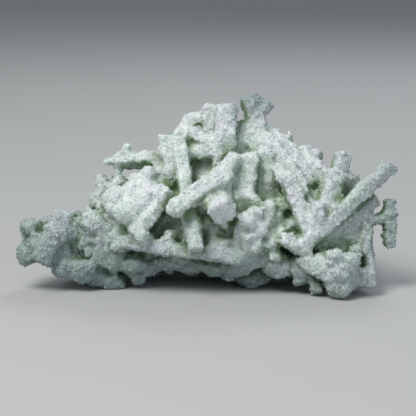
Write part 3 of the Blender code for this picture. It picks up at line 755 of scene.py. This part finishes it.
def bakeModifiers(piece):
    # The mesh with its modifiers applied takes the place of the plain one
    depsgraph = bpy.context.evaluated_depsgraph_get()
    finished = bpy.data.meshes.new_from_object(piece.evaluated_get(depsgraph))
    piece.modifiers.clear()
    old, piece.data = piece.data, finished
    bpy.data.meshes.remove(old)
    finished.name = piece.name


def setPaintedShadeMasks(mesh, values):
    # What the materials read at each vertex for their painted shade: openness, for the hollows, and the lit
    # share, for the darker ends, foot and top
    layer = mesh.color_attributes.new("growth", "FLOAT_COLOR", "POINT")
    colours = np.ones((len(values), 4), np.float32)
    colours[:, :2] = values
    layer.data.foreach_set("color", colours.ravel())


sight = {
    "over": 2.0,                                       # mm to each side, for the way out
    "steps": ((3.0, 0.3), (6.0, 0.35), (11.0, 0.35)),  # mm out from the skin, and what each counts for
}


def openness(points):
    # How free the space in front of a point is, from 0 deep in a hollow to 1 in the open: the field's value
    # at each step out, against the step. The way out is the field's slope, read so far apart that the small
    # bumps of the skin don't disturb it.
    out = np.stack([readField(wholeField, points + side) - readField(wholeField, points - side)
                    for side in np.eye(3) * sight["over"]], axis=1)
    out = out / np.maximum(np.linalg.norm(out, axis=1, keepdims=True), 1e-6)
    total = np.zeros(len(points))
    for step, weight in sight["steps"]:
        total += weight * np.clip(readField(wholeField, points + out * step) / step, 0.0, 1.0)
    return total


# Where the mound counts as lit, and where its ends, foot and top get painted shade, darker and grey-blue
litShareRule = {
    "x": (-88.8, -20.8, 26.8, 94.8),    # none at the outer two, full between the inner two
    "z": (8.0, 32.0),                   # from the foot up to where it is full
    "rightFrom": 20.0,                  # right of this it reaches further down
    "rightLift": 0.55,
    "topZ": (60.0, 74.0),               # the top loses it again
    "topX": (4.0, 12.0),                # and most of all right of the tall middle finger
    "topLeft": 0.3,                     # the share of that loss on the finger's left
    "least": 0.1,
}


def litShare(points):
    # Near 1 in the fully lit middle of the mound and near 0 at its ends, foot and top, which get painted
    # shade, darker and grey-blue, where less light falls: straight ramps along the mound and up it,
    # multiplied together
    rule = litShareRule
    x, z = points[:, 0], points[:, 2]
    along = np.interp(x, rule["x"], (0.0, 1.0, 1.0, 0.0))
    lifted = z + rule["rightLift"] * np.maximum(x - rule["rightFrom"], 0.0)
    up = np.interp(lifted, rule["z"], (rule["least"], 1.0))
    top = np.interp(z, rule["topZ"], (0.0, 1.0 - rule["least"]))
    side = np.maximum(np.interp(x, rule["topX"], (0.0, 1.0)), rule["topLeft"])
    return along * up * (1.0 - top * side)


skinShape = {
    "smoothing": 0.5,
    "buried": 0.8,         # mm inside another group's fingers, past which the skin is thinned out
    "keepBuried": 0.08,    # the share of its faces that a buried stretch keeps
    "swell": (4.2, 0.9),   # wave and height of the broad unevenness, in mm
    "crystals": 1.7,       # width of the crystals that break up its faces
    "level": 0.25,         # the height of their relief that leaves the skin where it is
    "seeds": {"fingers": 40, "lumps": 60, "swell": 7, "crystals": 20},
}


def thinBuried(piece, others):
    # Fewer faces where the skin lies inside another group's fingers. The mesh stays closed.
    points, _ = meshArrays(piece.data)
    buried = readField(others, points) < -skinShape["buried"]
    hidden = piece.vertex_groups.new(name="buried")
    hidden.add(np.flatnonzero(buried).tolist(), 1.0, "REPLACE")
    thin = piece.modifiers.new("thin", "DECIMATE")
    thin.ratio = 1.0 - buried.mean() * (1.0 - skinShape["keepBuried"])
    thin.vertex_group = "buried"
    thin.vertex_group_factor = 100.0    # so strong that the rest keeps its faces
    bakeModifiers(piece)
    piece.vertex_groups.clear()


def addFuse(piece, voxel):
    # One closed skin round everything that overlaps
    fuse = piece.modifiers.new("fuse", "REMESH")
    fuse.mode = "VOXEL"
    fuse.voxel_size = voxel * metresPerMm
    fuse.use_smooth_shade = True


def addPush(piece, reach):
    # The skin moved out along its normals, or in
    push = piece.modifiers.new("push", "DISPLACE")
    push.mid_level = 0.0
    push.strength = reach * metresPerMm


def fuseSkin(name, group, material):
    # Fingers, lumps and knobs of one group, fused into one closed skin and roughened with crystals. The skin
    # is pushed out, fused again and drawn back, which leaves narrow gaps closed by a web of crust.
    seeds = skinShape["seeds"]
    rng = np.random.default_rng(len(name) + seeds["fingers"])
    grids = [fingerSurface(bar, rng) for bar in group["bars"]]
    grids += [lumpSurface(lump, seeds["lumps"] + k) for k, lump in enumerate(group["lumps"])]
    if group["bars"]:
        grids.append(knobSurfaces(*knobsOnBars(group["bars"], *group["barKnobs"], rng), rng))
    grids.append(knobSurfaces(*knobsOnLumps(group["lumps"], *group["lumpKnobs"], rng), rng))
    piece = addPiece(name, *joinGrids(grids), material)
    for reach in (group["web"], -group["web"]):
        addFuse(piece, group["voxel"])
        addPush(piece, reach)
    piece.modifiers.new("soften", "SMOOTH").factor = skinShape["smoothing"]
    bakeModifiers(piece)
    thinBuried(piece, group["others"])
    points, normals = meshArrays(piece.data)
    wave, height = skinShape["swell"]
    relief = height * (softNoise(points, wave, seeds["swell"]) - 0.5)
    facets = crystalRelief(points, skinShape["crystals"], seeds["crystals"])
    relief += group["relief"] * (facets - skinShape["level"])
    points += normals * relief[:, None]
    points[:, 2] = np.maximum(points[:, 2], 0.0)
    piece.data.vertices.foreach_set("co", (points * metresPerMm).astype(np.float32).ravel())
    piece.data.update()
    points, normals = meshArrays(piece.data)
    setPaintedShadeMasks(piece.data, np.stack((openness(points), litShare(points)), axis=1))
    declare(piece)
    print("skin fused:", name, len(piece.data.polygons), "faces")
    return points, normals


def declare(piece):
    # Every piece is part of the one grown cluster
    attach(piece, "root")
    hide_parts(castNode)


grainShape = {
    "form": "peak",
    "seed": 17,
    "size": (0.85, 1.4),        # width of a grain, in spacings
    "stretch": (0.8, 1.4),      # length over width
    "rise": (0.30, 0.70),       # how far its top stands out of the skin, in widths
    "tilt": 38.0,               # degrees that it may lean away from the skin's normal
    "thinning": 0.25,           # the share of the places that stay bare
}
crystalShape = {
    "form": "gable",
    "seed": 29,
    "size": (0.55, 1.0),
    "stretch": (0.9, 1.7),
    "rise": (0.25, 0.65),
    "tilt": 40.0,
    "thinning": 0.84,
}
druseLimits = {
    "sunk": 0.35,               # how deep a base lies in the skin, in widths
    "clear": 0.1,               # mm outside the other groups' fingers
    "open": 0.16,               # nothing grows deeper in the hollows than this openness
    "lowest": 0.5,              # mm above the surface it stands on
    "rise": 0.85,               # what its height is multiplied by on an even skin
    "roughRise": 0.7,           # and how much more for each mm of the skin's relief
    "slip": 0.2,                # how far a top may lie beside the middle of its base, in widths
    "coarser": 1.6,             # the crystals' spacing against the grains'
    "cellKeys": (4000003, 2003, 1),    # these number the cells of space without a repeat
}
# Corners as (across, along, top), and the faces that close them. The base is the last face.
crystalForms = {
    "peak": {"corners": ((-0.5, -0.3, 0), (0.5, -0.3, 0), (0.0, 0.58, 0), (0.0, 0.0, 1)),
             "quads": (), "triangles": ((0, 1, 3), (1, 2, 3), (2, 0, 3), (2, 1, 0))},
    "gable": {"corners": ((-0.5, -0.5, 0), (0.5, -0.5, 0), (0.5, 0.5, 0), (-0.5, 0.5, 0),
                          (0.0, -0.3, 1), (0.0, 0.3, 1)),
              "quads": ((1, 2, 5, 4), (3, 0, 4, 5), (3, 2, 1, 0)), "triangles": ((0, 1, 4), (2, 3, 5))},
}


def layCells(mesh, count, quads, triangles):
    # Where each crystal's faces lie in a baked picture: one square cell for a crystal, one upright strip of
    # it for a face. The mesh has all the four-sided faces first, crystal by crystal, then the triangles.
    low, high = 0.1, 0.9    # the margin keeps a neighbour's colour out
    across = math.ceil(math.sqrt(count))
    strips = quads + triangles
    cell = np.stack((np.arange(count) % across, np.arange(count) // across), axis=1)[:, None, None, :]
    square = np.array(((low, low), (high, low), (high, high), (low, high)))
    wedge = np.array(((low, low), (high, low), (0.5, high)))
    spots = []
    for first, faces, corners in ((0, quads, square), (quads, triangles, wedge)):
        strip = (first + np.arange(faces))[:, None]
        inside = np.stack(((strip + corners[None, :, 0]) / strips, np.tile(corners[:, 1], (faces, 1))),
                          axis=2)
        spots.append(((cell + inside[None]) / across).reshape(-1, 2))
    layer = mesh.uv_layers.new(name="OFBake")
    layer.data.foreach_set("uv", np.concatenate(spots).astype(np.float32).ravel())


def druse(name, group, points, normals, spacing, look, material):
    # Small crystals scattered over a skin, one in each little cell of space that the skin passes: a base sunk
    # in the skin and a point or a ridge above it, turned and tilted at random
    limits = druseLimits
    rng = np.random.default_rng(look["seed"] + len(name))
    free = openness(points)
    shown = readField(group["others"], points) > limits["clear"]
    shown &= (free > limits["open"]) & (points[:, 2] > limits["lowest"])
    candidates = rng.permutation(np.flatnonzero(shown))
    cells = np.floor(points[candidates] / spacing).astype(np.int64)
    _, first = np.unique(cells @ np.array(limits["cellKeys"]), return_index=True)
    picked = candidates[first]
    picked = picked[rng.uniform(0.0, 1.0, len(picked)) >= look["thinning"]]
    count = len(picked)
    width = rng.uniform(*look["size"], count) * spacing
    length = width * rng.uniform(*look["stretch"], count)
    rise = width * rng.uniform(*look["rise"], count)
    rise = rise * (limits["rise"] + limits["roughRise"] * group["relief"])
    lean = math.tan(math.radians(look["tilt"])) * rng.uniform(0.0, 1.0, count)[:, None]
    outward = unit(normals[picked] + unit(rng.normal(size=(count, 3))) * lean)
    sideways = unit(np.cross(outward, unit(rng.normal(size=(count, 3)))))
    forward = np.cross(outward, sideways)
    slip = rng.uniform(-limits["slip"], limits["slip"], count) * width
    form = crystalForms[look["form"]]
    spots = np.empty((count, len(form["corners"]), 3))
    for k, (across, along, top) in enumerate(form["corners"]):
        spots[:, k] = (points[picked] + sideways * (across * width + slip * top)[:, None]
                       + forward * (along * length)[:, None]
                       + outward * (rise if top else -limits["sunk"] * width)[:, None])
    base = np.arange(count)[:, None, None] * len(form["corners"])
    quads = (np.array(form["quads"], int).reshape(-1, 4) + base).reshape(-1, 4)
    triangles = (np.array(form["triangles"]) + base).reshape(-1, 3)
    spots = spots.reshape(-1, 3)
    spots[:, 2] = np.maximum(spots[:, 2], 0.0)    # none reaches below the cut
    piece = addPiece(name, spots, quads, triangles, material)
    layCells(piece.data, count, len(form["quads"]), len(form["triangles"]))
    values = np.stack((free[picked], litShare(points[picked])), axis=1)
    setPaintedShadeMasks(piece.data, np.repeat(values, len(form["corners"]), axis=0))
    declare(piece)
    print("druse grown:", name, count, "crystals")


# Materials

def linear(hexColour):
    # sRGB hex to linear red, green, blue and alpha
    parts = [int(hexColour[k:k + 2], 16) / 255.0 for k in (1, 3, 5)]
    return [c / 12.92 if c <= 0.04045 else ((c + 0.055) / 1.055) ** 2.4 for c in parts] + [1.0]


def addNode(tree, kind, settings=(), **links):
    # A node with its settings, and its inputs set or linked. A link is a node and its output, and an input
    # whose name isn't the only one is given by its number, as _6.
    node = tree.nodes.new("ShaderNode" + kind)
    for key, value in dict(settings).items():
        setattr(node, key, value)
    for key, value in links.items():
        socket = node.inputs[int(key[1:])] if key[1:].isdigit() else node.inputs[key.replace("_", " ")]
        if isinstance(value, tuple) and isinstance(value[0], bpy.types.Node):
            tree.links.new(value[0].outputs[value[1]], socket)
        else:
            socket.default_value = value
    return node


prehniteLook = {
    "open": "#E9F6F2",         # frosty white with some green where the crust stands free
    "frost": "#EFF6F9",        # and with some lavender
    "hollowShade": "#8CA882",       # painted shade in the hollows: a darker pale green for the shade there and for light that has come through more crust
    "outer": "#A9B6B4",        # painted shade, grey-blue, on the ends, foot and top
    "speckle": (0.85, 1.05),   # from a clear crystal to a milky one
    "cloud": 9.0,              # mm, the patches where the painted hollow shade reaches further out
    "cloudDepth": 0.5,         # how much openness they are worth
    "free": (0.34, 1.05),      # openness with its clouds, from all painted hollow shade to none
    "drift": 13.0,             # mm, the patches of frost
    "frosty": (0.38, 0.62),    # their noise, from none to all
    "litRange": (0.05, 0.85),     # the lit share, from all painted grey-blue shade to none
    "ior": 1.63,
    "gloss": (0.35, 0.65),     # roughness, from one crystal to the next
    "facet": 0.6,              # mm, the finest crystals of the druse
    "facetRelief": 0.48,       # how strongly they catch the light
    "scatterDepth": 1.0,       # mm that light travels in the crust before it turns
    "scatterTint": (1.0, 1.15, 1.05),    # green light goes furthest
}


def prehniteMaterial(name, scatter):
    # Prehnite: a translucent calcium aluminium silicate, grown as a crust of small curved crystals. The eye
    # gets a milky body, a satin gloss and a sparkle from each crystal face; the colour also holds painted
    # shade, a darker green in the hollows and a darker grey-blue at the ends, foot and top.
    # The tiny crystals of the druse are too thin to scatter light inside, so theirs is 0.
    look = prehniteLook
    material = bpy.data.materials.new(name)
    material.use_nodes = True
    tree = material.node_tree
    tree.nodes.clear()
    here = addNode(tree, "TexCoord")
    growth = addNode(tree, "Attribute", {"attribute_name": "growth"})
    parts = addNode(tree, "SeparateColor", Color=(growth, "Color"))
    cloud = addNode(tree, "TexNoise", Vector=(here, "Object"),
                    Scale=1.0 / (look["cloud"] * metresPerMm), Detail=3.0, Roughness=0.6)
    depth = addNode(tree, "Math", {"operation": "MULTIPLY_ADD"}, _0=(cloud, "Fac"),
                    _1=look["cloudDepth"], _2=(parts, "Red"))
    free = addNode(tree, "MapRange", Value=(depth, "Value"), From_Min=look["free"][0],
                   From_Max=look["free"][1])
    drift = addNode(tree, "TexNoise", Vector=(here, "Object"),
                    Scale=1.0 / (look["drift"] * metresPerMm), Detail=1.0)
    frosty = addNode(tree, "MapRange", Value=(drift, "Fac"), From_Min=look["frosty"][0],
                     From_Max=look["frosty"][1])
    shell = addNode(tree, "Mix", {"data_type": "RGBA"}, _0=(frosty, "Result"),
                    _6=linear(look["open"]), _7=linear(look["frost"]))
    # Painted shade: the less open a hollow is, the more of the darker green it takes
    body = addNode(tree, "Mix", {"data_type": "RGBA"}, _0=(free, "Result"),
                   _6=linear(look["hollowShade"]), _7=(shell, 2))
    # Painted shade: the ends, foot and top are multiplied towards the darker grey-blue
    outerShadeShare = addNode(tree, "MapRange", Value=(parts, "Green"), From_Min=look["litRange"][0],
                       From_Max=look["litRange"][1], To_Min=1.0, To_Max=0.0)
    shadedBody = addNode(tree, "Mix", {"data_type": "RGBA", "blend_type": "MULTIPLY"},
                     _0=(outerShadeShare, "Result"), _6=(body, 2), _7=linear(look["outer"]))
    facets = addNode(tree, "TexVoronoi", Vector=(here, "Object"),
                     Scale=1.0 / (look["facet"] * metresPerMm))
    clarity = addNode(tree, "SeparateColor", Color=(facets, "Color"))
    speckle = addNode(tree, "MapRange", Value=(clarity, "Green"), To_Min=look["speckle"][0],
                      To_Max=look["speckle"][1])
    coat = addNode(tree, "VectorMath", {"operation": "SCALE"}, _0=(shadedBody, 2),
                   Scale=(speckle, "Result"))
    away = addNode(tree, "VectorMath", {"operation": "SUBTRACT"}, _0=(here, "Object"),
                   _1=(facets, "Position"))
    lean = addNode(tree, "VectorMath", {"operation": "SUBTRACT"}, _0=(facets, "Color"),
                   _1=(0.5, 0.5, 0.5))
    height = addNode(tree, "VectorMath", {"operation": "DOT_PRODUCT"}, _0=(away, "Vector"),
                     _1=(lean, "Vector"))
    bump = addNode(tree, "Bump", Strength=look["facetRelief"], Distance=1.0,
                   Height=(height, "Value"))
    gloss = addNode(tree, "MapRange", Value=(clarity, "Red"), To_Min=look["gloss"][0],
                    To_Max=look["gloss"][1])
    shader = addNode(tree, "BsdfPrincipled", {"subsurface_method": "RANDOM_WALK"},
                     Base_Color=(coat, "Vector"), Roughness=(gloss, "Result"), IOR=look["ior"],
                     Normal=(bump, "Normal"))
    shader.inputs["Subsurface Weight"].default_value = scatter
    shader.inputs["Subsurface Radius"].default_value = look["scatterTint"]
    shader.inputs["Subsurface Scale"].default_value = look["scatterDepth"] * metresPerMm
    addNode(tree, "OutputMaterial", Surface=(shader, "BSDF"))
    return material


prehniteCrust = prehniteMaterial("prehniteCrust", scatter=1.0)
prehniteDruse = prehniteMaterial("prehniteDruse", scatter=0.0)

for name, group in groups.items():
    points, normals = fuseSkin(name, group, prehniteCrust)
    wide = druseLimits["coarser"] * group["grains"]
    druse(name + "Grains", group, points, normals, group["grains"], grainShape, prehniteDruse)
    druse(name + "Crystals", group, points, normals, wide, crystalShape, prehniteDruse)


# Stage, light and camera

stageLook = {
    "floor": "#BFC1C0",
    "floorRoughness": 0.9,
    "floorHalf": 6.0,          # metres from its middle to its edge
    "lampAim": (0.0, 0.0, 0.03),    # metres
    "world": "#C9CED4",
    "worldStrength": 0.36,
}


def paleFloor():
    # A plain square so wide that its edges are far out of the picture
    half = stageLook["floorHalf"] / metresPerMm
    corners = np.array(((-half, -half, 0), (half, -half, 0), (half, half, 0), (-half, half, 0)), float)
    material = bpy.data.materials.new("paleFloor")
    material.use_nodes = True
    shader = material.node_tree.nodes["Principled BSDF"]
    shader.inputs["Base Color"].default_value = linear(stageLook["floor"])
    shader.inputs["Roughness"].default_value = stageLook["floorRoughness"]
    floor = addPiece("floor", corners, np.array(((0, 1, 2, 3),)), np.empty((0, 3), int), material)


# Places and sizes of the lamps in metres

lamps = {
    "keyLamp": {"spot": (-0.45, -0.62, 1.00), "size": 0.70, "watts": 11.9, "colour": "#FFFDF8"},
    "fillLamp": {"spot": (0.80, -0.95, 0.45), "size": 0.9, "watts": 2.2, "colour": "#E4EEFF"},
    "rimLamp": {"spot": (0.25, 0.80, 0.85), "size": 0.5, "watts": 3.0, "colour": "#F6FAFF"},
}


def addLamp(name, spot, size, watts, colour):
    # A round lamp, turned to the middle of the specimen
    light = bpy.data.lights.new(name, "AREA")
    light.shape = "DISK"
    light.size = size
    light.energy = watts
    light.color = linear(colour)[:3]
    lamp = bpy.data.objects.new(name, light)
    lamp.location = spot
    lamp.rotation_euler = lookAngles(np.array(stageLook["lampAim"]) - np.array(spot))
    bpy.context.scene.collection.objects.link(lamp)


def lookAngles(towards):
    # Turn about X, then about Z, that points a camera's or a lamp's own -Z along that direction
    x, y, z = unit(towards)
    return math.acos(-z), 0.0, math.atan2(-x, y)


def frontCamera():
    # The photo's own view: the lens shows the picture's width at the distance of the point looked at
    ahead, _ = viewDirections()
    aim = np.array(frontView["aim"]) - np.array(frontView["centre"])
    camera = bpy.data.cameras.new("frontCamera")
    camera.lens = camera.sensor_width * frontView["distance"] / frontView["pictureWidth"]
    camera.clip_start, camera.clip_end = frontView["clips"]
    eye = bpy.data.objects.new("frontCamera", camera)
    eye.location = (aim - frontView["distance"] * ahead) * metresPerMm
    eye.rotation_euler = lookAngles(ahead)
    bpy.context.scene.collection.objects.link(eye)
    bpy.context.scene.camera = eye


def softWorld():
    # Even light from all round
    world = bpy.data.worlds.new("studio")
    world.use_nodes = True
    background = world.node_tree.nodes["Background"]
    background.inputs["Color"].default_value = linear(stageLook["world"])
    background.inputs["Strength"].default_value = stageLook["worldStrength"]
    bpy.context.scene.world = world
    bpy.context.scene.view_settings.view_transform = "Standard"    # keeps the whites of the photo white


paleFloor()
for name, settings in lamps.items():
    addLamp(name, **settings)
softWorld()
frontCamera()
print("stage, lamps and camera set")
